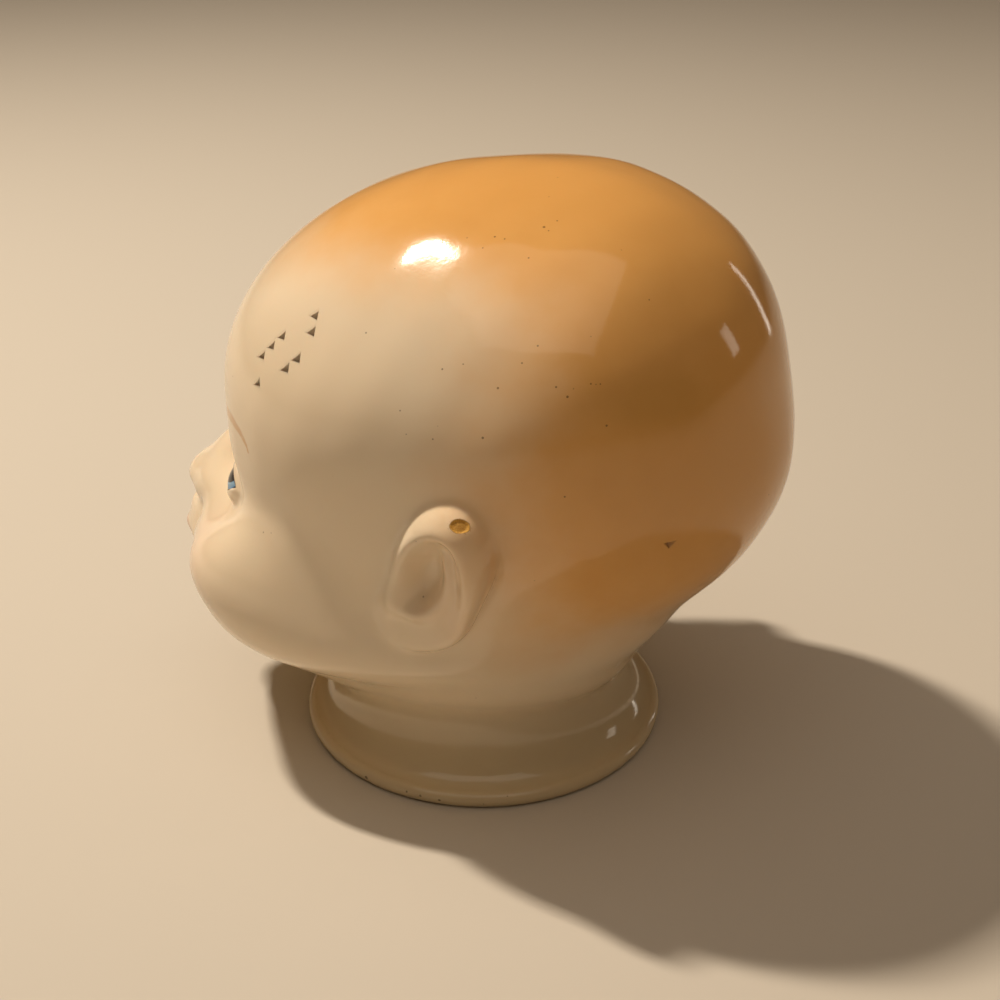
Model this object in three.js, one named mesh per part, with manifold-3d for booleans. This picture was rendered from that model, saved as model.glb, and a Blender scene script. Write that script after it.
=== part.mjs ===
// Head of a baby doll in glazed porcelain: one hollow casting with a flanged neck, open below.
// Millimetres, +Z up, the face looks along -Y and the doll's left ear is on the +X side.
// The neck flange stands on z = 0. Shapes are worked out about the flange's own axis,
// and the whole head then moves back a little so that its box is centred on the origin.

import * as THREE from "three";
import { mergeVertices } from "three/addons/utils/BufferGeometryUtils.js";
import Module from "manifold-3d";

// Driving dimensions
const AXIS_Y = 2.5; // the flange's axis, behind the middle of the head's length
const WALL = 3.3; // thickness of the casting
const FLANGE_RADIUS = 35;
const RIM_RADIUS = 1.5; // roundness of the flange's thin rim
const COVE = { centreZ: 17, width: 6.5, height: 14 }; // hollow moulding from rim to neck
const NECK_ROLL = { centreZ: 22.5, radius: 29.3, halfHeight: 11, endAngle: 1.1 }; // fold of fat
const NECK_TOP = 34; // how far the neck's solid runs up inside the head
const THROAT = { radius: 24, mouthRadius: 28, flareHeight: 11, overrun: 1 }; // way into the hollow

// Middle of the head that every point of its surface can be seen from
const CORE = new THREE.Vector3(0, -14, 50);

// Large forms of the head: centre, half-sizes, and how softly each one runs into the rest
const SKULL = { centre: [0, 6.6, 65.7], half: [42.2, 50.1, 42.5] };
const LARGE_FORMS = [
  { name: "back of the skull", centre: [0, 20.6, 75.7], half: [39.5, 25.4, 27.9], blend: 24 },
  { name: "forehead", centre: [0, -5, 72.2], half: [39.4, 37.3, 26.8], blend: 20 },
  { name: "face", centre: [0, -3.5, 49.6], half: [36.1, 36.7, 29], blend: 16 },
  { name: "nape", centre: [0, 11.6, 31.7], half: [27, 24.7, 14], blend: 14 },
  { name: "cheeks", centre: [19.5, -28.4, 38.7], half: [17.5, 20.5, 14.6], blend: 18, paired: true },
  { name: "jowls", centre: [21, -12, 32.3], half: [18.5, 27, 9.2], blend: 18, paired: true },
  { name: "mouth region", centre: [0, -41.2, 32.5], half: [21, 15.9, 13.4], blend: 16 },
  { name: "chin", centre: [0, -44, 20.5], half: [12, 9.5, 7.5], blend: 10 },
  { name: "double chin", centre: [0, -28, 21], half: [25, 21, 9], blend: 12 },
];
const PAIR_SOFTNESS = 0.8; // rounds the seam where left and right forms meet, in square millimetres

// Soft hollows pressed into the large forms: the eye sockets, and the flatter back of the skull
const SOCKETS = { centre: [17.4, -46, 50.8], spread: [12.4, 14, 7.8], depth: 6.2 };
const FLAT_BACK = { centre: [0, 58, 74.5], spread: [40, 16, 11.5], depth: 2.2 };

// Small soft forms of the face, joined on in this order
const SMALL_FORMS = [
  { name: "root of the nose", centre: [0, -48.5, 50.8], half: [4.6, 4.2, 5.4], blend: 7 },
  { name: "foot of the nose", centre: [0, -49.6, 45], half: [6.4, 5, 7], blend: 7 },
  { name: "swell of the lips", centre: [0, -54.4, 32.5], half: [9.5, 5, 6.5], blend: 6 },
  { name: "eyeballs", centre: [17.3, -36.8, 51.2], half: [6.2, 6.2, 5.6], blend: 4.5, paired: true },
];

// Crisp forms of the face, added to the casting as they are
const NOSE_BRIDGE = { centre: [0, -50.8, 47.2], half: [5, 5, 9], tilt: 38 }; // degrees back
const NOSE_TIP = { centre: [0, -54.8, 43], half: [5.4, 6, 4.2] };
const NOSE_WING = { centre: [4.4, -52.8, 41.6], half: [3.1, 3.8, 2.8] };
const UPPER_LIP = { centre: [0, -55.8, 32], half: [7.2, 6.2, 2.7] };
const LOWER_LIP = { centre: [0, -54.8, 27.7], half: [6, 6.4, 2.7] };

// Ears: where the left one sits, how it is turned, and its forms in its own frame,
// with x out of the head, y to the back and z up the ear
const EAR_AT = [41.6, 6, 52];
const EAR_LEAN = 18; // degrees that its top leans back
const EAR_FLARE = 9; // degrees that its back edge stands off the head
const EAR_TUCK = 11; // degrees that it faces down, with the side of the head
const EAR_PLATE = { centre: [0.2, 0.7, -0.4], half: [3, 9, 14.5] };
const EAR_ROLL = { halfWidth: 6.9, halfHeight: 12.4, radius: 2.3, x: 1.9 };
const EAR_ROLL_ARC = { from: -100, to: 85, turn: 18.5 }; // degrees from the top, towards the back
const EAR_BOWL = { centre: [4, -1.6, 1.8], half: [4.4, 4.8, 7.8] };
const EAR_RIDGE = { centre: [1.6, 1.6, -1], half: [1.7, 1.5, 6.4] };
const EAR_TRAGUS = { centre: [2, -5.6, -3.7], half: [1.9, 1.8, 3.8] };

// Fineness of the faceted surfaces
const CROWDING = new THREE.Vector3(0, -0.45, -0.05); // draws facets from the skull to the face
const HEAD_DETAIL = 13;
const HOLLOW_DETAIL = 5;
const ROUND_STEPS = 36; // facets round the neck
const ARC_STEPS = 5; // facets along each arc of the neck's profile
const EGG_STEPS = [12, 8]; // facets round and along a small form of the ear
const BAR_STEPS = { along: 12, quarter: 4 }; // facets along and round the ear's rolled edge
const SEARCH = { from: 1, to: 110, halvings: 30 }; // how a surface point is found, out from the core
const WELD = 1e-4; // corners nearer than this are one corner

const wasm = await Module();
wasm.setup();

// Closed geometry to solid, and back
function solid(geometry) {
  const bare = geometry.index ? geometry.toNonIndexed() : geometry.clone();
  bare.deleteAttribute("normal");
  bare.deleteAttribute("uv");
  const merged = mergeVertices(bare, WELD);
  return new wasm.Manifold(
    new wasm.Mesh({
      numProp: 3,
      vertProperties: new Float32Array(merged.attributes.position.array),
      triVerts: new Uint32Array(merged.index.array),
    }),
  );
}

function geometryOf(body) {
  const mesh = body.getMesh();
  const geometry = new THREE.BufferGeometry();
  geometry.setAttribute("position", new THREE.BufferAttribute(mesh.vertProperties, 3));
  geometry.setIndex(new THREE.BufferAttribute(mesh.triVerts, 1));
  return geometry;
}

// Signed distance to an ellipsoid, near enough close to its surface
function ellipsoid(point, centre, half) {
  const q = [0, 1, 2].map((k) => (point[k] - centre[k]) / half[k]);
  const near = Math.hypot(...q);
  const steep = Math.hypot(...q.map((value, k) => value / half[k]));
  return (near * (near - 1)) / Math.max(steep, 1e-9);
}

// The nearer of two distances, with the corner between them filled over a width of blend
function join(a, b, blend) {
  const overlap = Math.max(blend - Math.abs(a - b), 0) / blend;
  return Math.min(a, b) - (overlap ** 3 * blend) / 6;
}

function joinForms(start, forms, point) {
  const mirrored = [Math.sqrt(point[0] ** 2 + PAIR_SOFTNESS), point[1], point[2]];
  return forms.reduce(
    (distance, form) =>
      join(distance, ellipsoid(form.paired ? mirrored : point, form.centre, form.half), form.blend),
    start,
  );
}

// Depth of a soft hollow, the same on both sides
function pressed(point, { centre, spread, depth }) {
  const reach = [Math.abs(point[0]) - centre[0], point[1] - centre[1], point[2] - centre[2]];
  return depth * Math.exp(-reach.reduce((sum, value, k) => sum + (value / spread[k]) ** 2, 0));
}

function largeForms(point) {
  const modelled = joinForms(ellipsoid(point, SKULL.centre, SKULL.half), LARGE_FORMS, point);
  return modelled + pressed(point, SOCKETS) + pressed(point, FLAT_BACK);
}

const headSurface = (point) => joinForms(largeForms(point), SMALL_FORMS, point);
const hollowSurface = (point) => largeForms(point) + WALL;

// A ball of triangles whose points slide out from the core until they meet the surface
function ballOf(distanceTo, detail) {
  const geometry = new THREE.IcosahedronGeometry(1, detail);
  const position = geometry.attributes.position;
  const direction = new THREE.Vector3();
  for (let i = 0; i < position.count; i++) {
    direction.fromBufferAttribute(position, i).normalize().add(CROWDING).normalize();
    let inside = SEARCH.from;
    let outside = SEARCH.to;
    for (let step = 0; step < SEARCH.halvings; step++) {
      const middle = (inside + outside) / 2;
      const point = direction.clone().multiplyScalar(middle).add(CORE);
      if (distanceTo(point.toArray()) < 0) inside = middle;
      else outside = middle;
    }
    direction.multiplyScalar(inside).add(CORE);
    position.setXYZ(i, direction.x, direction.y, direction.z);
  }
  return geometry;
}

// A profile of radius and height turned round the upright axis
function turned(path) {
  return new THREE.LatheGeometry(path.getPoints(ARC_STEPS), ROUND_STEPS).rotateX(Math.PI / 2);
}

// Neck and flange: flat foot, thin round rim, cove, and the roll of the neck running up inside
function neckBody() {
  const rim = FLANGE_RADIUS - RIM_RADIUS;
  const profile = new THREE.Path();
  profile.moveTo(0, 0);
  profile.lineTo(rim, 0);
  profile.absarc(rim, RIM_RADIUS, RIM_RADIUS, -Math.PI / 2, Math.PI / 2, false);
  profile.absellipse(rim, COVE.centreZ, COVE.width, COVE.height, -Math.PI / 2, -Math.PI, true);
  const roll = NECK_ROLL;
  const crease = Math.asin((COVE.centreZ - roll.centreZ) / roll.halfHeight);
  profile.absellipse(0, roll.centreZ, roll.radius, roll.halfHeight, crease, roll.endAngle, false);
  profile.lineTo(0, NECK_TOP);
  return solid(turned(profile));
}

// The way in from below: a flare at the foot and a straight throat
function throatBody() {
  const profile = new THREE.Path();
  const { radius, mouthRadius, flareHeight, overrun } = THROAT;
  profile.moveTo(0, -overrun);
  profile.lineTo(mouthRadius, -overrun);
  profile.lineTo(mouthRadius, 0);
  const flare = mouthRadius - radius;
  profile.absellipse(mouthRadius, flareHeight, flare, flareHeight, -Math.PI / 2, -Math.PI, true);
  profile.lineTo(radius, NECK_TOP + overrun);
  profile.lineTo(0, NECK_TOP + overrun);
  return solid(turned(profile));
}

// A ball stretched along its axes, then tilted back if asked
function egg({ centre, half, tilt = 0 }) {
  const ball = new THREE.SphereGeometry(1, ...EGG_STEPS).scale(...half);
  return ball.rotateX(-THREE.MathUtils.degToRad(tilt)).translate(...centre);
}

function withFace(head) {
  const [across, forward, up] = NOSE_WING.centre;
  const rightWing = { ...NOSE_WING, centre: [-across, forward, up] };
  return [NOSE_BRIDGE, NOSE_TIP, NOSE_WING, rightWing, UPPER_LIP, LOWER_LIP].reduce(
    (body, form) => body.add(solid(egg(form))),
    head,
  );
}

// The rolled edge of the ear: a round bar along part of an ellipse
function earRoll() {
  const { halfWidth, halfHeight, radius, x } = EAR_ROLL;
  const { from, to, turn } = EAR_ROLL_ARC;
  const points = [];
  for (let degrees = from; degrees <= to; degrees += turn) {
    const angle = THREE.MathUtils.degToRad(degrees);
    const back = EAR_PLATE.centre[1] + halfWidth * Math.sin(angle);
    const up = EAR_PLATE.centre[2] + halfHeight * Math.cos(angle);
    points.push(new THREE.Vector3(x, back, up));
  }
  const section = new THREE.Shape().absarc(0, 0, radius, 0, 2 * Math.PI, false);
  return new THREE.ExtrudeGeometry(section, {
    extrudePath: new THREE.CatmullRomCurve3(points),
    steps: BAR_STEPS.along,
    curveSegments: BAR_STEPS.quarter,
  });
}

// One ear in place on the left side, or its mirror image on the right
function earPiece(geometry, side) {
  const { degToRad } = THREE.MathUtils;
  const placed = geometry.clone();
  placed.rotateY(degToRad(EAR_TUCK)).rotateZ(-degToRad(EAR_FLARE)).rotateX(-degToRad(EAR_LEAN));
  placed.translate(...EAR_AT);
  if (side > 0) return solid(placed);
  const mirrored = (placed.index ? placed.toNonIndexed() : placed).scale(-1, 1, 1);
  const corners = mirrored.attributes.position;
  const first = new THREE.Vector3();
  const last = new THREE.Vector3();
  for (let i = 0; i < corners.count; i += 3) {
    first.fromBufferAttribute(corners, i);
    last.fromBufferAttribute(corners, i + 2);
    corners.setXYZ(i, ...last.toArray());
    corners.setXYZ(i + 2, ...first.toArray());
  }
  return solid(mirrored);
}

function withEar(head, side) {
  return head
    .add(earPiece(egg(EAR_PLATE), side))
    .add(earPiece(earRoll(), side))
    .subtract(earPiece(egg(EAR_BOWL), side))
    .add(earPiece(egg(EAR_RIDGE), side))
    .add(earPiece(egg(EAR_TRAGUS), side));
}

let casting = solid(ballOf(headSurface, HEAD_DETAIL));
casting = withEar(withEar(withFace(casting), 1), -1);
casting = casting.add(neckBody());
casting = casting.subtract(solid(ballOf(hollowSurface, HOLLOW_DETAIL))).subtract(throatBody());

const porcelain = new THREE.MeshStandardMaterial({
  color: 0xe6c79d,
  roughness: 0.18,
  metalness: 0,
});

const head = new THREE.Mesh(geometryOf(casting), porcelain);
head.name = "doll_head";
head.position.y = AXIS_Y;

const part = new THREE.Group();
part.name = "porcelain doll head";
part.add(head);

export default part;
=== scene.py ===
import math

import bmesh
import bpy
import numpy as np
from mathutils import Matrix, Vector


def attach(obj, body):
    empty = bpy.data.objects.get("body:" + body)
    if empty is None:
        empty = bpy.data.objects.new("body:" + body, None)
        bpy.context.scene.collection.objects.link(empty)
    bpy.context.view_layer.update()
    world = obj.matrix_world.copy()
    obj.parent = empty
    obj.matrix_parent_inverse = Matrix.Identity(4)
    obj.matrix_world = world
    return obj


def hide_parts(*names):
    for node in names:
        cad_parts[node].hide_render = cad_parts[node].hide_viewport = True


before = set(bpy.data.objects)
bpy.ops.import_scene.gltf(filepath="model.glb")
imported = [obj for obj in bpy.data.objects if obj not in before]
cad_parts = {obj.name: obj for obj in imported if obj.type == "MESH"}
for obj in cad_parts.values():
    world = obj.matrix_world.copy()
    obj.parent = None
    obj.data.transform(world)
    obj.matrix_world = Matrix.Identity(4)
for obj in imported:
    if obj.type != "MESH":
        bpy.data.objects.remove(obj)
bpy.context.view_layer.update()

# The big forms of the head: skull, face, cheeks, jaw and double chin. They were modelled as one
# rounded shape in the clay original, and the plaster mould gives them to the porcelain in one pour.
# Millimetres about the axis of the neck flange; every shape is a distance that is negative inside.
PAIR_SOFTNESS = 0.8  # rounds the seam where left and right forms meet


def ellipsoid(x, y, z, centre, half):
    """Signed distance to an ellipsoid, near enough close to its surface."""
    u, v, w = (x - centre[0]) / half[0], (y - centre[1]) / half[1], (z - centre[2]) / half[2]
    near = np.sqrt(u * u + v * v + w * w)
    steep = np.sqrt((u / half[0]) ** 2 + (v / half[1]) ** 2 + (w / half[2]) ** 2)
    return near * (near - 1) / np.maximum(steep, 1e-9)


def join(a, b, blend):
    """Two bodies as one, with the corner between them filled over a width of blend."""
    overlap = np.maximum(blend - np.abs(a - b), 0) / blend
    return np.minimum(a, b) - overlap**3 * blend / 6


def cut(body, tool, blend):
    """The body without the tool, with the new edge rounded over a width of blend."""
    return -join(-body, tool, blend)


def clay(x, y, z, centre, spread, height):
    """A soft lump of the given height, to add to the surface or to press into it."""
    u, v, w = (x - centre[0]) / spread[0], (y - centre[1]) / spread[1], (z - centre[2]) / spread[2]
    return height * np.exp(-u * u - v * v - w * w)


def smooth(t):
    """0 up to 0 and 1 from 1 on, with a rounded slope between."""
    t = np.clip(t, 0, 1)
    return t * t * (3 - 2 * t)


# sizes first set, and most of them then fitted to the head's outline in the photograph
SKULL = dict(centre=(0, 6.6, 65.7), half=(42.2, 50.1, 42.5))
BIG_FORMS = [  # what, centre, half-sizes, blend with the rest, one on each side
    ("back of the skull", (0, 20.6, 75.7), (39.5, 25.4, 27.9), 24, False),
    ("forehead", (0, -5.0, 72.2), (39.4, 37.3, 26.8), 20, False),
    ("face", (0, -3.5, 49.6), (36.1, 36.7, 29), 16, False),
    ("nape", (0, 11.6, 31.7), (27, 24.7, 14), 14, False),
    ("cheeks", (19.5, -28.4, 38.7), (17.5, 20.5, 14.6), 18, True),
    ("jowls", (21, -12, 32.3), (18.5, 27, 9.2), 18, True),
    ("mouth region", (0, -41.2, 32.5), (21, 15.9, 13.4), 16, False),
    ("chin", (0, -44, 20.5), (12, 9.5, 7.5), 10, False),
    ("double chin", (0, -28, 21), (25, 21, 9), 12, False),
]
EYE_SOCKET = ((17.4, -46, 50.8), (12.4, 14, 7.8), 6.6)
TEMPLE = ((22.5, -38, 56.8), (8, 13, 8.5), -1.4)
CHEEK_FOLD = ((33.4, -29, 55.5), (8, 9, 4.2), 0.4)
FLAT_BACK = ((0, 58, 74.5), (40, 16, 11.5), 2.2)


def big_forms(x, y, z):
    """Distance to the head before it gets a face, ears and a neck."""
    side = np.sqrt(x * x + PAIR_SOFTNESS)
    d = ellipsoid(x, y, z, SKULL["centre"], SKULL["half"])
    for _, centre, half, blend, paired in BIG_FORMS:
        d = join(d, ellipsoid(side if paired else x, y, z, centre, half), blend)
    for soft_shape in (EYE_SOCKET, TEMPLE, CHEEK_FOLD, FLAT_BACK):
        d = d + clay(np.abs(x), y, z, *soft_shape)
    return d


# The face: a small upturned nose, full lips and moulded eyeballs between their lids. All of it is
# relief in the mould, softened a little by the glaze that runs into every corner.
EYE, EYE_HALF = (17.3, -36.8, 51.2), (6.2, 6.2, 5.6)
OPENING_AT, OPENING_TILT = (18.2, 52.3), math.radians(8)
UPPER_ARC, LOWER_ARC = (-3.2, 6.3), (5.2, 7.2)  # height of the middle and radius of a lid's edge
UPPER_LID, LOWER_LID = 0.65, 0.2  # thickness
BRIDGE_AT, NOSE_LEAN = (-50.6, 47.4), math.radians(38)
NOSTRIL_AT = (2.5, -57.2, 38.7)


def eye_opening(u, w):
    """Distance to the almond between the lids, u outwards and w up from its middle."""
    c, s = math.cos(OPENING_TILT), math.sin(OPENING_TILT)
    u, w = c * u + s * w, c * w - s * u
    arcs = [np.hypot(u, w - middle) - radius for middle, radius in (UPPER_ARC, LOWER_ARC)]
    return np.maximum(*arcs)


def with_face(d, x, y, z):
    """The head with nose, eyes and mouth."""
    side = np.sqrt(x * x + PAIR_SOFTNESS / 2)
    c, s = math.cos(NOSE_LEAN), math.sin(NOSE_LEAN)
    along = s * (y - BRIDGE_AT[0]) + c * (z - BRIDGE_AT[1])
    across = c * (y - BRIDGE_AT[0]) - s * (z - BRIDGE_AT[1])
    bridge = ellipsoid(x, across, along, (0, 0, 0), (5.4, 4.4, 9.0))
    tip = ellipsoid(x, y, z, (0, -54.6, 43.4), (4.8, 5.6, 3.7))
    wings = ellipsoid(side, y, z, (4.4, -52.6, 41.9), (2.9, 3.5, 2.4))
    d = join(d, bridge, 9)
    d = join(d, join(tip, wings, 3), 6) - clay(side, y, z, (7.5, -46, 49), (3.5, 9, 6), 0.7)
    d = cut(d, ellipsoid(side, y, z, NOSTRIL_AT, (1.3, 1.9, 1.1)), 2.2)
    d = d - clay(side, y, z, (12, -45, 46.4), (6, 12, 5), 4.2)  # fullness under the eyes

    lids = eye_opening(side - OPENING_AT[0], z - OPENING_AT[1])
    lid = LOWER_LID + (UPPER_LID - LOWER_LID) * smooth((z - OPENING_AT[1] + 1) / 2)
    ball = ellipsoid(side, y, z, EYE, EYE_HALF) - lid * smooth(lids + 0.4)
    d = join(d, ball + 0.9 * smooth((lids - 0.8) / 3.5), 5)

    d = d - clay(x, y, z, (0, -60, 33.6), (8.5, 10, 6.2), 3.6)  # swell of the mouth
    d = d - clay(side, y, z, (2.4, -62, 32.5), (3.6, 9, 1.8), 1.2)  # upper lip
    d = d - clay(x, y, z, (0, -62, 27.6), (4.8, 9, 2.0), 2.1)  # lower lip
    d = d + clay(x, y, z, (0, -62, 29.8), (7.5, 9, 0.9), 1.3)  # line between the lips
    d = d + clay(x, y, z, (0, -60, 40.2), (8.5, 8, 1.7), 1.2)  # step under the nose
    d = d + clay(side, y, z, (9.6, -56, 37), (1.5, 8, 4.0), 0.6)  # fold from nose to mouth
    d = d + clay(x, y, z, (0, -61, 36), (1.5, 9, 2.0), 0.4)  # groove from nose to lip
    return d + clay(x, y, z, (0, -58, 23.6), (7.0, 9, 1.8), 0.9)  # hollow above the chin


# The ears: flat shells that stand off the head, each with a rolled edge, a deep bowl and a ridge
# round that. The left one has lost a flake of glaze from the top of its roll.
EAR_AT = (41.6, 6.0, 52.0)
EAR_LEAN, EAR_FLARE, EAR_TUCK = math.radians(18), math.radians(9), math.radians(11)
CHIP_AT = np.array([47.0, 11.4, 64.9])
CHIP_ALONG, CHIP_ACROSS = np.array([-0.42, 0.90, -0.07]), np.array([0.79, 0.26, -0.55])
CHIP_HALF, CHIP_DEPTH, CHIP_REACH = (1.6, 1.15), 0.3, 5.0
EAR_FACE, EAR_BACK = 2.0, -1.8
BOWL_AT, BOWL_HALF, BOWL_DEPTH = (-1.7, 0.6), (3.7, 6.6), 3.2
SKIN_SHARE, HOLLOW_SHARE = 0.55, 0.4  # how far the skin and the hollow behind give way to the bowl


def ring(u, v, centre, radii):
    """Distance to an ellipse in the plane, and the direction from its middle in degrees."""
    a, b = u - centre[0], v - centre[1]
    near = np.hypot(a / radii[0], b / radii[1])
    steep = np.hypot(a / radii[0] ** 2, b / radii[1] ** 2)
    bearing = np.degrees(np.arctan2(a / radii[0], b / radii[1]))
    return near * (near - 1) / np.maximum(steep, 1e-6), bearing


def in_ear(x, y, z):
    """Coordinates in the ear: back, up along its length, and out of the head."""
    out, back, up = np.abs(x) - EAR_AT[0], y - EAR_AT[1], z - EAR_AT[2]
    c, s = math.cos(EAR_LEAN), math.sin(EAR_LEAN)
    back, up = c * back - s * up, s * back + c * up
    c, s = math.cos(EAR_FLARE), math.sin(EAR_FLARE)
    out, back = c * out - s * back, s * out + c * back
    c, s = math.cos(EAR_TUCK), math.sin(EAR_TUCK)
    out, up = c * out - s * up, s * out + c * up
    return back, up, out


def between(bearing, start, rise, end, fall):
    """1 along part of a ring and 0 elsewhere, rising after start and falling before end."""
    return smooth((bearing - start) / rise) * smooth((end - bearing) / fall)


def ear_bowl(u, v):
    """Depth of the bowl below the face of the ear."""
    across = ((u - BOWL_AT[0]) / BOWL_HALF[0]) ** 2 + ((v - BOWL_AT[1]) / BOWL_HALF[1]) ** 2
    return BOWL_DEPTH * np.exp(-(across**1.3))


def with_ears(d, u, v, n):
    """The head with an ear, in the coordinates of the ear."""
    upper, _ = ring(u, v, (0.7, 4.9), (8.1, 11.5))
    lower, _ = ring(u, v, (0.2, -2.5), (7.8, 12.2))
    lobe, _ = ring(u, v, (-2.4, -9.6), (6.2, 7.0))
    edge = join(join(upper, lower, 3), lobe, 4)
    roll, bearing = ring(u, v, (0.7, 1.4), (6.3, 12.0))
    relief = 3.0 * between(bearing, -135, 60, 150, 95) * np.exp(-((roll / 2.6) ** 2))
    ridge, bearing = ring(u, v, (-3.1, 1.4), (5.3, 9.2))
    bearing = np.where(bearing < -90, bearing + 360, bearing)
    relief = relief + 1.5 * between(bearing, 15, 55, 215, 50) * np.exp(-((ridge / 1.8) ** 2))
    tragus = ((u + 5.9) / 2.0) ** 2 + ((v + 6.6) / 3.8) ** 2
    relief = relief + 1.5 * np.exp(-tragus) - ear_bowl(u, v)
    plate = -join(-edge, -np.maximum(n - EAR_FACE - relief, EAR_BACK - n), 3.0)
    return join(d + SKIN_SHARE * ear_bowl(u, v), plate, 3.4)


def chip_edge(x, y, z):
    """Distance to the outline of the lost flake, looking square at the skin."""
    offset = np.stack([x, y, z], -1) - CHIP_AT
    a, b = offset @ CHIP_ALONG / CHIP_HALF[0], offset @ CHIP_ACROSS / CHIP_HALF[1]
    outline = (np.hypot(a, b) - 1) * CHIP_HALF[1]
    return np.where(np.linalg.norm(offset, axis=-1) < CHIP_REACH, outline, CHIP_REACH)


# The neck: it narrows to a cove, where the cord of a cloth body would be tied, and spreads below
# that into a thin round-edged flange. The head stands on the flat underside of the flange.
FLANGE_RADIUS, RIM_RADIUS = 35.0, 1.5
COVE = ((33.5, 17.0), (6.5, 14.0))
BELL_BOTTOM, BELL_TOP = 2.0, 24.0
NECK_ROLL = (22.5, 29.3, 11.0)  # height of its middle, radius, half height


def with_neck(d, x, y, z):
    """The head with its neck and flange."""
    r = np.hypot(x, y)
    rim_middle = FLANGE_RADIUS - RIM_RADIUS
    cove, _ = ring(r, z, *COVE)
    bell = -join(BELL_TOP - z, -np.maximum(-cove, r - rim_middle), 8)
    bell = np.maximum(BELL_BOTTOM - z, bell)
    rim = np.hypot(np.maximum(r - rim_middle, 0), z - RIM_RADIUS) - RIM_RADIUS
    middle, radius, half = NECK_ROLL
    level = (z - middle + 0.006 * (y - 6) ** 2) / half
    near = np.hypot(r / radius, level)
    roll = near * (near - 1) / np.maximum(np.hypot(r / radius**2, level / half), 1e-6)
    return join(join(d, roll, 14), np.minimum(bell, rim), 5)


# The hollow: the slip is poured out through the neck once a wall of about 3 mm has set, so the
# inside follows the outside without its small features, and the throat is open from below.
WALL = 3.3
THROAT_RADIUS, FLARE, FLARE_HEIGHT, THROAT_TOP = 24.0, 4.0, 11.0, 36.0

# firing leaves the skin very slightly wavy, which shows only where the glaze mirrors the room
RIPPLE = 0.035
wave_rng = np.random.default_rng(11)
WAVES = []
for length in (34, 27, 21, 17, 13, 10):
    direction = wave_rng.normal(size=3)
    WAVES.append((direction / np.linalg.norm(direction) * 2 * math.pi / length,
                  wave_rng.uniform(0, 2 * math.pi), length / 13))


def ripple(x, y, z):
    """Height of the waves, about 1 for the middle-sized ones."""
    total = 0
    for (a, b, c), phase, height in WAVES:
        total = total + height * np.sin(a * x + b * y + c * z + phase)
    return total


def casting(x, y, z):
    """Distance to the whole casting."""
    big = big_forms(x, y, z)
    d = with_face(big, x, y, z)
    by_ear = (np.abs(x) > 30) & (np.abs(y - EAR_AT[1]) < 26) & (np.abs(z - EAR_AT[2]) < 28)
    here = x[by_ear], y[by_ear], z[by_ear]
    u, v, n = in_ear(*here)
    d[by_ear] = with_ears(d[by_ear], u, v, n)
    d[by_ear] += CHIP_DEPTH * smooth(-chip_edge(*here) / 0.5)
    d = with_neck(d, x, y, z)
    flare = FLARE * np.clip(1 - z / FLARE_HEIGHT, 0, 2) ** 3
    throat = np.maximum(np.hypot(x, y) - THROAT_RADIUS - flare, z - THROAT_TOP)
    hollow = big + WALL
    hollow[by_ear] += HOLLOW_SHARE * ear_bowl(u, v)
    d = cut(d, join(hollow, throat, 4), 1.0)
    return d + RIPPLE * ripple(x, y, z) * smooth((z - 30) / 30)


# The skin of the casting as quads: one point in every cell of a grid that the surface crosses,
# with finer cells round the face, the ears and the rim.
FINE, COARSE, FADE = 1.45, 2.0, 8  # sides of the cells, and the stretch over which they grow


def grid_lines(start, end, bands):
    """Where the grid is cut along an axis, with fine cells in the bands."""
    lines = [start]
    while lines[-1] < end:
        away = min(max(low - lines[-1], lines[-1] - high, 0) for low, high in bands)
        lines.append(lines[-1] + FINE + (COARSE - FINE) * min(away / FADE, 1))
    return np.array(lines)


def surface_cells(values, axes):
    """One point for each cell the surface crosses, and a quad round each crossed grid edge."""
    inside = values < 0
    cells = tuple(n - 1 for n in values.shape)
    total, count = np.zeros(cells + (3,)), np.zeros(cells)
    crossings = []
    for axis in range(3):
        low = tuple(slice(0, -1) if k == axis else slice(None) for k in range(3))
        high = tuple(slice(1, None) if k == axis else slice(None) for k in range(3))
        crossed = inside[low] != inside[high]
        at = np.argwhere(crossed)
        share = values[low][crossed] / (values[low][crossed] - values[high][crossed])
        point = np.stack([axes[k][at[:, k]] for k in range(3)], 1)
        point[:, axis] += share * (axes[axis][at[:, axis] + 1] - axes[axis][at[:, axis]])
        u, v = [(1, 2), (2, 0), (0, 1)][axis]
        around = []
        for du, dv in ((1, 1), (0, 1), (0, 0), (1, 0)):
            cell = at.copy()
            cell[:, u] -= du
            cell[:, v] -= dv
            np.add.at(total, tuple(cell.T), point)
            np.add.at(count, tuple(cell.T), 1)
            around.append(cell)
        crossings.append((around, inside[low][crossed]))
    used = count > 0
    number = np.full(cells, -1)
    number[used] = np.arange(used.sum())
    quads = []
    for around, starts_inside in crossings:
        quad = np.stack([number[tuple(cell.T)] for cell in around], 1)
        quad[~starts_inside] = quad[~starts_inside][:, ::-1]
        quads.append(quad)
    return total[used] / count[used][:, None], np.concatenate(quads)


def slope(points, step=0.05):
    """Which way the distance grows at each point, and how fast."""
    columns = []
    for k in range(3):
        ahead, behind = points.copy(), points.copy()
        ahead[:, k] += step
        behind[:, k] -= step
        columns.append((casting(*ahead.T) - casting(*behind.T)) / (2 * step))
    return np.stack(columns, 1)


def settled(points, rounds, reach=0.5):
    """Points moved onto the surface, by no more than reach in a round."""
    for _ in range(rounds):
        steepness = slope(points)
        squared = np.maximum((steepness**2).sum(1), 0.05)
        move = -(casting(*points.T) / squared)[:, None] * steepness
        length = np.linalg.norm(move, axis=1)[:, None]
        points = points + move * np.minimum(1, reach / np.maximum(length, 1e-9))
    return points


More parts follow.
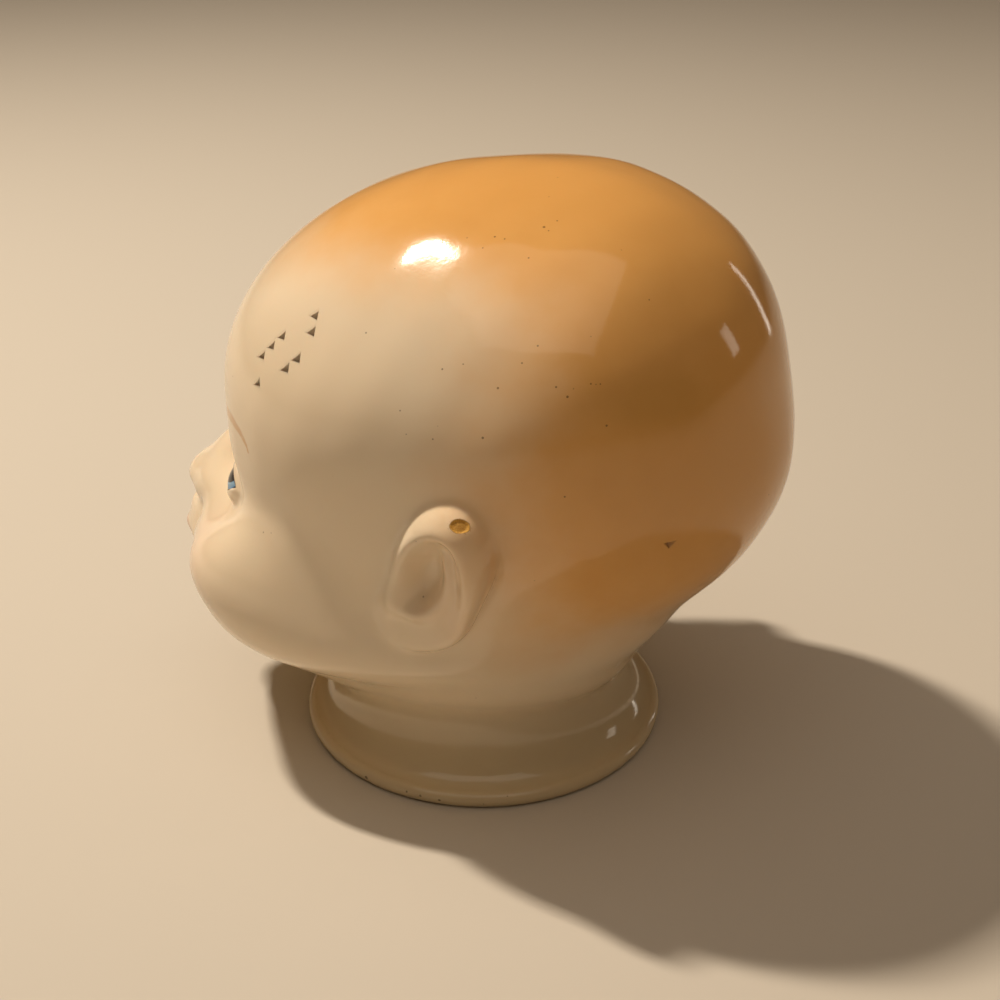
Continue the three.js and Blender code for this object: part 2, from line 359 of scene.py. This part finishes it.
def settle(skin, moving, rounds):
    """Slides points of the skin towards the middle of their neighbours, along the surface."""
    skin.verts.index_update()
    points = np.array([vert.co for vert in skin.verts])
    pairs = np.array([(edge.verts[0].index, edge.verts[1].index) for edge in skin.edges])
    pairs = np.concatenate([pairs, pairs[:, ::-1]])
    neighbours = np.maximum(np.bincount(pairs[:, 0], minlength=len(points)), 1)[:, None]
    moving = np.array([vert.index for vert in moving])
    points[moving] = settled(points[moving], 2)
    for _ in range(rounds):
        sums = [np.bincount(pairs[:, 0], points[pairs[:, 1], k], len(points)) for k in range(3)]
        move = (np.stack(sums, 1) / neighbours - points)[moving]
        normal = slope(points[moving])
        normal /= np.linalg.norm(normal, axis=1)[:, None]
        along = move - (move * normal).sum(1)[:, None] * normal
        points[moving] = settled(points[moving] + 0.5 * along, 1)
    points[moving] = settled(points[moving], 2)
    for vert, place in zip(skin.verts, points):
        vert.co = place
    return points


half_width = grid_lines(0.5, 51, [(0, 21), (40, 49)])
axes = (
    np.concatenate([-half_width[::-1], half_width]),
    grid_lines(-65, 61, [(-64, -40), (-4, 17)]),
    grid_lines(-1.2, 113, [(-1, 3), (22, 69)]),
)
values = casting(*(g.ravel() for g in np.meshgrid(*axes, indexing="ij")))
points, quads = surface_cells(values.reshape([len(a) for a in axes]), axes)
skin = bmesh.new()
corners = [skin.verts.new(point) for point in points]
for quad in quads:
    skin.faces.new([corners[k] for k in quad])
settle(skin, skin.verts, 3)

# each round halves the outer faces in its boxes, given by middle and half size on the doll's left
FACE_BOX, EAR_BOX = ((16, -50, 48), (17.5, 17, 22)), ((44, 7, 52), (8, 17, 19))
RIM_BOX = ((0, 0, 1.5), (40, 40, 3))
EYE_BOX, CHIP_BOX = ((17, -41, 51), (7.5, 6, 5.5)), (CHIP_AT, (3, 3, 3))
MOUTH_BOX, NOSE_BOX = ((0, -58, 31), (9, 8, 7)), ((0, -56, 40), (8, 8, 5))
REFINED = [
    [FACE_BOX, EAR_BOX, RIM_BOX],
    [EYE_BOX, MOUTH_BOX, NOSE_BOX, CHIP_BOX],
    [EYE_BOX, CHIP_BOX],
]
for boxes in REFINED:
    chosen = set()
    faces = list(skin.faces)
    middles = np.array([face.calc_center_median() for face in faces])
    outer = big_forms(*middles.T) > -WALL / 2
    middles[:, 0] = np.abs(middles[:, 0])
    for centre, half in boxes:
        boxed = (np.abs(middles - centre) < half).all(1)
        for k in np.flatnonzero(outer & boxed):
            chosen.update(faces[k].edges)
    bmesh.ops.subdivide_edges(skin, edges=list(chosen), cuts=1, use_grid_fill=True)
    moving = {vert for edge in chosen if edge.is_valid for vert in edge.verts}
    moving |= {edge.other_vert(vert) for vert in moving for edge in vert.link_edges}
    points = settle(skin, moving, 2)
print("casting:", sum(len(face.verts) - 2 for face in skin.faces), "triangles")


# The painted decoration, put on with a brush and an airbrush under the clear glaze. Each painted
# shape is kept on the skin as a distance in millimetres from its edge, negative inside the shape,
# and the glaze below turns these distances into colour.
x, y, z = points.T
side = np.abs(x)
outside = big_forms(x, y, z) > -WALL / 2
front = outside & (y < -34)
FAR = 9.0
paint = {}

# tan hair colour, sprayed over the top and the back of the head with very soft edges
top = 98.0 - 0.004 * (y + 3) ** 2 - z
back = 0.42 * (17.5 - 4.0 * np.exp(-(((z - 71) / 11) ** 2)) - y)
paint["scalp"] = cut(join(top, back, 10), 0.5 * (z - 36), 8)
# a darker ochre patch in the hair colour on the back of the skull, behind and above the left ear
paint["dark_back_patch"] = 1 - clay(x, y, z, (31, 38, 83.5), (12, 14, 5), 1)

# blush on cheeks, chin and ears
paint["blush"] = (
    1
    - clay(side, y, z, (23, -42, 38), (10, 12, 8), 1)
    - clay(x, y, z, (0, -54, 20), (8, 8, 5), 0.6)
    - clay(side, y, z, (46, 6, 47), (5, 9, 12), 0.5)
)


def on_face(across, up):
    """The point of the skin straight in front of a place on the face."""
    deep, clear = -25.0, -70.0
    for _ in range(30):
        middle = (deep + clear) / 2
        if casting(*np.array([[across], [middle], [up]]))[0] < 0:
            deep = middle
        else:
            clear = middle
    return np.array([across, deep, up])


# eyebrows, one thin stroke each: the distance to the stroke, counted in half widths of the brush;
# by_brow has no sign, and keeps paint off the skin further out, where the sign jumps
BROW = [
    (9, 63.2), (13, 65.4), (18, 67.3), (23, 68.3),
    (27, 68.5), (30.2, 67.9), (32, 66.6), (32.6, 64.4),
]
BROW_HALF, RUN_ON, NO_PAINT = 1.2, 9, 1e3
stations = [on_face(*station) for station in BROW]
here = np.stack([side, y, z], 1)
nearest, paint["brow"], paint["by_brow"] = (np.full(len(here), NO_PAINT) for _ in range(3))
for k, (start, end) in enumerate(zip(stations, stations[1:])):
    run = end - start
    share = ((here - start) @ run) / (run @ run)
    held = np.clip(share, 0 if k else -RUN_ON, 1 if k < len(stations) - 2 else RUN_ON)
    off = here - start - held[:, None] * run
    distance = np.linalg.norm(off, axis=1)
    sign = np.sign(off @ np.cross(run, start + end))
    progress = (k + share) / (len(stations) - 1)
    width = BROW_HALF * np.sqrt(np.clip(progress * 8, 0, 1) * np.clip((1 - progress) * 1.3, 0, 1))
    closer = distance < nearest
    nearest = np.where(closer, distance, nearest)
    paint["brow"] = np.where(closer, sign * distance / (width + 0.01), paint["brow"])
    past = here - start - np.clip(share, 0, 1)[:, None] * run
    paint["by_brow"] = np.minimum(paint["by_brow"], np.linalg.norm(past, axis=1) / BROW_HALF)

# eyes: the lids' edge with the lash line on it, and an iris and pupil that glance to the doll's left
u, w = side - OPENING_AT[0], z - OPENING_AT[1]
glance = np.where(x > 0, 2.0, -2.0)
lids = np.where(front, eye_opening(u, w), FAR)
paint["lids"] = lids
paint["iris"] = np.maximum(np.hypot(u - glance, w - 1.2) - 3.6, lids)
paint["pupil"] = np.maximum(np.hypot(u - glance, w - 2.2) - 2.0, lids)
LASH_ABOVE, LASH_BELOW = 0.6, 0.14
paint["lash"] = lids / (0.02 + LASH_ABOVE * smooth(w / 1.8) + LASH_BELOW * smooth(-w))

# lips, the line between them and the nostrils
bow = 0.5 * np.exp(-(((side - 2.6) / 1.6) ** 2))
upper = (np.hypot(x / 7.4, (z - 31.8 - bow) / 2.4) - 1) * 2.4
lower = (np.hypot(x / 6.0, (z - 27.8) / 2.4) - 1) * 2.4
by_mouth = outside & (y < -52)
paint["lips"] = np.where(by_mouth, np.minimum(upper, lower), FAR)
line_half = 0.01 + 0.42 * np.sqrt(np.clip((7.2 - side) / 3, 0, 1))
paint["mouth_line"] = np.where(by_mouth, (z - 29.8 + 0.3 * (side / 6) ** 2) / line_half, FAR)
paint["nostrils"] = np.linalg.norm(here - (2.5, -57.2, 38.8), axis=1) - 1.1

# the flake off the left ear, an olive tint over the flange and its cove that deepens towards the bottom,
# and the bare foot and inside
paint["chip"] = chip_edge(x, y, z)
paint["below"] = z
paint["bare"] = np.where(outside, z - 0.6, -5)

# the points leave the flange's axis here for the frame of the row, in metres
AXIS_Y = 2.5
normals = slope(points)
for vert in skin.verts:
    vert.co = (vert.co + Vector((0, AXIS_Y, 0))) / 1000
mesh = bpy.data.meshes.new("doll_head_casting")
skin.to_mesh(mesh)
mesh.shade_smooth()
mesh.normals_split_custom_set_from_vertices(normals / np.linalg.norm(normals, axis=1)[:, None])
for name, distance in paint.items():
    attribute = mesh.attributes.new(name, "FLOAT", "POINT")
    attribute.data.foreach_set("value", np.asarray(distance, np.float32))
head = bpy.data.objects.new("doll_head_casting", mesh)
bpy.context.scene.collection.objects.link(head)
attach(head, "root")
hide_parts("doll_head")


# Glazed porcelain: a cream body under clear gloss, so highlights are small and sharp while the
# colour below looks soft and slightly deep.
def colour(code):
    """A colour from its hex code, turned linear."""
    parts = [int(code[k:k + 2], 16) / 255 for k in (1, 3, 5)]
    linear = [p / 12.92 if p <= 0.04045 else ((p + 0.055) / 1.055) ** 2.4 for p in parts]
    return (*linear, 1)


def add(tree, kind, inputs=None, **settings):
    """Adds a node; inputs gives sockets their values or the outputs they are linked to."""
    made = tree.nodes.new(kind)
    for name, value in settings.items():
        setattr(made, name, value)
    for socket, value in (inputs or {}).items():
        if isinstance(value, bpy.types.NodeSocket):
            tree.links.new(value, made.inputs[socket])
        else:
            made.inputs[socket].default_value = value
    return made


# iron specks fired into the body, and small knocks along the rim: place in millimetres and radius.
# Those that show were picked in the photograph, and their places worked out beforehand from that.
SPECKS = [
    (20.2, 16.8, 105.2, 0.26), (20.8, 17.7, 104.9, 0.16), (18.4, 18.4, 105.8, 0.17),
    (23.1, 9.7, 103.9, 0.16), (23.4, 11.4, 103.8, 0.15), (25.1, 8.4, 102.6, 0.14),
    (26.2, 16.1, 102.1, 0.17), (24.8, 34.8, 96.9, 0.15), (40.7, 15.7, 86.4, 0.2),
    (39.3, 24.3, 87.1, 0.2), (39.4, 26.1, 85.8, 0.2), (37.3, 29.1, 87.4, 0.16),
    (37.0, 29.8, 87.3, 0.14), (36.7, 30.4, 87.3, 0.14), (38.6, 18.8, 90.0, 0.14),
    (36.8, 20.7, 92.3, 0.15), (38.5, 32.0, 81.5, 0.2), (34.9, 38.2, 79.3, 0.2),
    (43.6, 14.2, 79.3, 0.2), (35.6, -7.3, 90.7, 0.17), (39.8, 6.6, 88.0, 0.18),
    (39.3, 9.8, 89.0, 0.15), (42.5, 0.6, 81.5, 0.17), (43.6, 1.9, 78.2, 0.15),
    (43.8, 6.3, 78.1, 0.17), (42.4, 26.8, 70.7, 0.18), (35.0, -26.8, 51.9, 0.24),
]
NICKS = [
    (32.8, -12.4, 1.6, 0.35), (34.7, -3.6, 1.9, 0.2), (34.8, -0.9, 1.7, 0.25), (34.9, 2.7, 1.5, 0.22),
    (33.6, 10.7, 1.4, 0.25), (-20, 28.7, 1.6, 0.35), (12, -32.8, 1.6, 0.3), (-30.2, -17.6, 1.4, 0.35),
]
porcelain = bpy.data.materials.new("glazed porcelain")
porcelain.use_nodes = True
tree = porcelain.node_tree
tree.nodes.clear()
metres = add(tree, "ShaderNodeTexCoord").outputs["Object"]
place = add(tree, "ShaderNodeVectorMath", {0: metres, 1: (1000, 1000, 1000), 2: (0, -AXIS_Y, 0)},
            operation="MULTIPLY_ADD").outputs[0]
CLOUD, MOTTLE, GRAIN, PIT_SPACING = 100 / 9, 10 / 9, 0.3125, 6.25  # millimetres
cloudy, fine, grain = (
    add(tree, "ShaderNodeTexNoise", {"Vector": place, "Scale": 1 / size, "Detail": detail}).outputs["Fac"]
    for size, detail in ((CLOUD, 4), (MOTTLE, 3), (GRAIN, 2))
)

distances = {name: add(tree, "ShaderNodeAttribute", attribute_name=name).outputs["Fac"]
             for name in paint}
for name, spots in (("specks", SPECKS), ("nicks", NICKS)):
    nearest = FAR
    for *at, radius in spots:
        gap = add(tree, "ShaderNodeVectorMath", {0: place, 1: at}, operation="DISTANCE")
        edge = add(tree, "ShaderNodeMath", {0: gap.outputs["Value"], 1: radius}, operation="SUBTRACT")
        nearest = add(tree, "ShaderNodeMath", {0: edge.outputs[0], 1: nearest},
                      operation="MINIMUM").outputs[0]
    distances[name] = nearest
pits = add(tree, "ShaderNodeTexVoronoi", {"Vector": place, "Scale": 1 / PIT_SPACING})
distances["pits"] = pits.outputs["Distance"]
for name in ("brow", "lash", "mouth_line"):
    distances[name] = add(tree, "ShaderNodeMath", {0: distances[name]}, operation="ABSOLUTE").outputs[0]
distances["brow"] = add(tree, "ShaderNodeMath", {0: distances["brow"], 1: distances["by_brow"]},
                        operation="MAXIMUM").outputs[0]

# each coat covers what lies inside its edge, over those before it; soft is half the width of the
# change, and a noise may push the edge to and fro
COATS = [  # shape, edge, soft, strength, colour, noise, push
    ("blush", 0.5, 0.5, 0.3, "#E0A488", None, 0),
    ("scalp", 0.0, 6.5, 1.0, "#E9B169", cloudy, 5),
    ("scalp", -7.0, 6.0, 0.35, "#C98A38", cloudy, 9),
    ("dark_back_patch", 0.5, 0.5, 0.35, "#B98A3E", cloudy, 0.5),
    ("below", 14.0, 9.0, 0.5, "#B5A16C", None, 0),
    ("brow", 1.0, 0.4, 0.65, "#CC9038", fine, 0.4),
    ("lips", 0.0, 0.5, 0.55, "#D29A80", fine, 0.5),
    ("mouth_line", 1.0, 0.5, 0.7, "#9A5746", None, 0),
    ("nostrils", 0.0, 0.4, 0.7, "#B0644C", None, 0),
    ("lids", 0.0, 0.1, 1.0, "#EDE9DE", None, 0),
    ("iris", 0.0, 0.12, 1.0, "#5F8DB4", None, 0),
    ("iris", -0.7, 0.6, 0.8, "#9DC3DE", fine, 0.6),
    ("pupil", 0.0, 0.1, 1.0, "#17100E", None, 0),
    ("lash", 1.0, 0.15, 0.95, "#2A1A14", None, 0),
    ("pits", 0.02, 0.012, 0.5, "#6B4B2A", fine, 0.06),
    ("specks", -0.03, 0.06, 0.7, "#5A4028", fine, 0.2),
    ("chip", 0.02, 0.05, 0.7, "#7E5A2A", fine, 0.3),
    ("chip", -0.05, 0.08, 1.0, "#D9A544", fine, 0.3),
    ("chip", -0.3, 0.4, 0.6, "#AD7A30", grain, 2.6),
    ("nicks", 0.0, 0.1, 0.8, "#5A452C", fine, 0.4),
    ("bare", 0.0, 0.4, 1.0, "#D8CCB4", None, 0),
]
tones = colour("#F0DDC0")
for shape, edge, soft, strength, tint, noise, push in COATS:
    distance = distances[shape]
    if noise:
        centred = add(tree, "ShaderNodeMath", {0: noise, 1: 0.5}, operation="SUBTRACT").outputs[0]
        distance = add(tree, "ShaderNodeMath", {0: centred, 1: push, 2: distance},
                       operation="MULTIPLY_ADD").outputs[0]
    cover = add(tree, "ShaderNodeMapRange", {
        "Value": distance, "From Min": edge + soft, "From Max": edge - soft, "To Max": strength,
    }, interpolation_type="SMOOTHSTEP").outputs["Result"]
    tones = add(tree, "ShaderNodeMix", {0: cover, 6: tones, 7: colour(tint)},
                data_type="RGBA").outputs[2]

# where the glaze is broken or was never put on, the body is dull and grainy
broken = add(tree, "ShaderNodeMath", {0: distances["chip"], 1: distances["nicks"]},
             operation="MINIMUM").outputs[0]
unglazed = add(tree, "ShaderNodeMath", {0: broken, 1: distances["bare"]}, operation="MINIMUM").outputs[0]
dull = add(tree, "ShaderNodeMapRange",
           {"Value": unglazed, "From Min": 0.1, "From Max": -0.1, "To Min": 0.09, "To Max": 0.75})
coarse = add(tree, "ShaderNodeMapRange", {"Value": unglazed, "From Min": 0.1, "From Max": -0.1})
sheen = add(tree, "ShaderNodeBump", {"Height": fine, "Distance": 0.00001})
crumble = add(tree, "ShaderNodeBump", {
    "Height": grain, "Strength": coarse.outputs["Result"], "Distance": 0.00012,
    "Normal": sheen.outputs["Normal"],
})
glaze = add(tree, "ShaderNodeBsdfPrincipled", {
    "Base Color": tones,
    "Roughness": dull.outputs["Result"],
    "Normal": crumble.outputs["Normal"],
    "Subsurface Weight": 0.12,
    "Subsurface Radius": (1.0, 0.6, 0.35),
    "Subsurface Scale": 0.002,
    "IOR": 1.5,
})
add(tree, "ShaderNodeOutputMaterial", {"Surface": glaze.outputs["BSDF"]})
mesh.materials.append(porcelain)


# The floor that the flange stands on: one sheet of plain pale matt paper, big enough to run out of
# the picture on all sides. It is not part of the object.
floor_mesh = bpy.data.meshes.new("floor")
reach = 4.0  # metres each way
floor_mesh.from_pydata([(-reach, -reach, 0), (reach, -reach, 0), (reach, reach, 0), (-reach, reach, 0)],
                       [], [(0, 1, 2, 3)])
floor = bpy.data.objects.new("floor", floor_mesh)
bpy.context.scene.collection.objects.link(floor)
paper = bpy.data.materials.new("matt paper")
paper.use_nodes = True
surface = paper.node_tree.nodes["Principled BSDF"]
surface.inputs["Base Color"].default_value = colour("#CFC7BA")
surface.inputs["Roughness"].default_value = 0.8
floor_mesh.materials.append(paper)


# The light: a small warm softbox above the face, a wide dim one overhead, a pale room all round,
# and two dim tall strips behind that the glaze mirrors down the back of the skull and in the flange.
def softbox(name, direction, distance, size, watts, tint):
    """A lamp that far off in that direction, aimed at the middle of the head."""
    lamp = bpy.data.lights.new(name, "AREA")
    lamp.shape = "RECTANGLE"
    lamp.size, lamp.size_y = size
    lamp.energy = watts
    lamp.color = colour(tint)[:3]
    holder = bpy.data.objects.new(name, lamp)
    bpy.context.scene.collection.objects.link(holder)
    aim = Vector((0, 0, 0.06))
    holder.location = aim + Vector(direction).normalized() * distance
    holder.rotation_euler = (aim - holder.location).to_track_quat("-Z", "Y").to_euler()


softbox("key", (-0.10, -0.51, 0.855), 0.9, (0.036, 0.09), 8.0, "#FFF0DC")
softbox("ceiling", (0.25, 0.05, 1), 1.2, (1.2, 1.2), 3.8, "#FFF0DC")
softbox("back strip", (-0.42, 0.87, 0.24), 0.9, (0.12, 0.22), 0.18, "#FFF1DE")
softbox("edge strip", (-0.80, 0.58, 0.08), 0.9, (0.05, 0.5), 0.25, "#FFF1DE")
room = bpy.data.worlds.new("room")
room.use_nodes = True
room.node_tree.nodes["Background"].inputs["Color"].default_value = colour("#B5987A")
room.node_tree.nodes["Background"].inputs["Strength"].default_value = 0.2
bpy.context.scene.world = room
bpy.context.scene.view_settings.view_transform = "Standard"

# The camera: beside and above the left ear and slightly behind it, about 0.3 m off. It looks down
# on the head, so the crown and the top of the flange both show.
lens = bpy.data.cameras.new("camera")
lens.lens, lens.sensor_width, lens.clip_start = 54, 36, 0.01
camera = bpy.data.objects.new("camera", lens)
bpy.context.scene.collection.objects.link(camera)
camera.location = (0.2378, 0.0773 + AXIS_Y / 1000, 0.1746)
camera.rotation_euler = (math.pi / 2 - math.radians(27.39), 0, math.radians(107.27))
bpy.context.scene.camera = camera
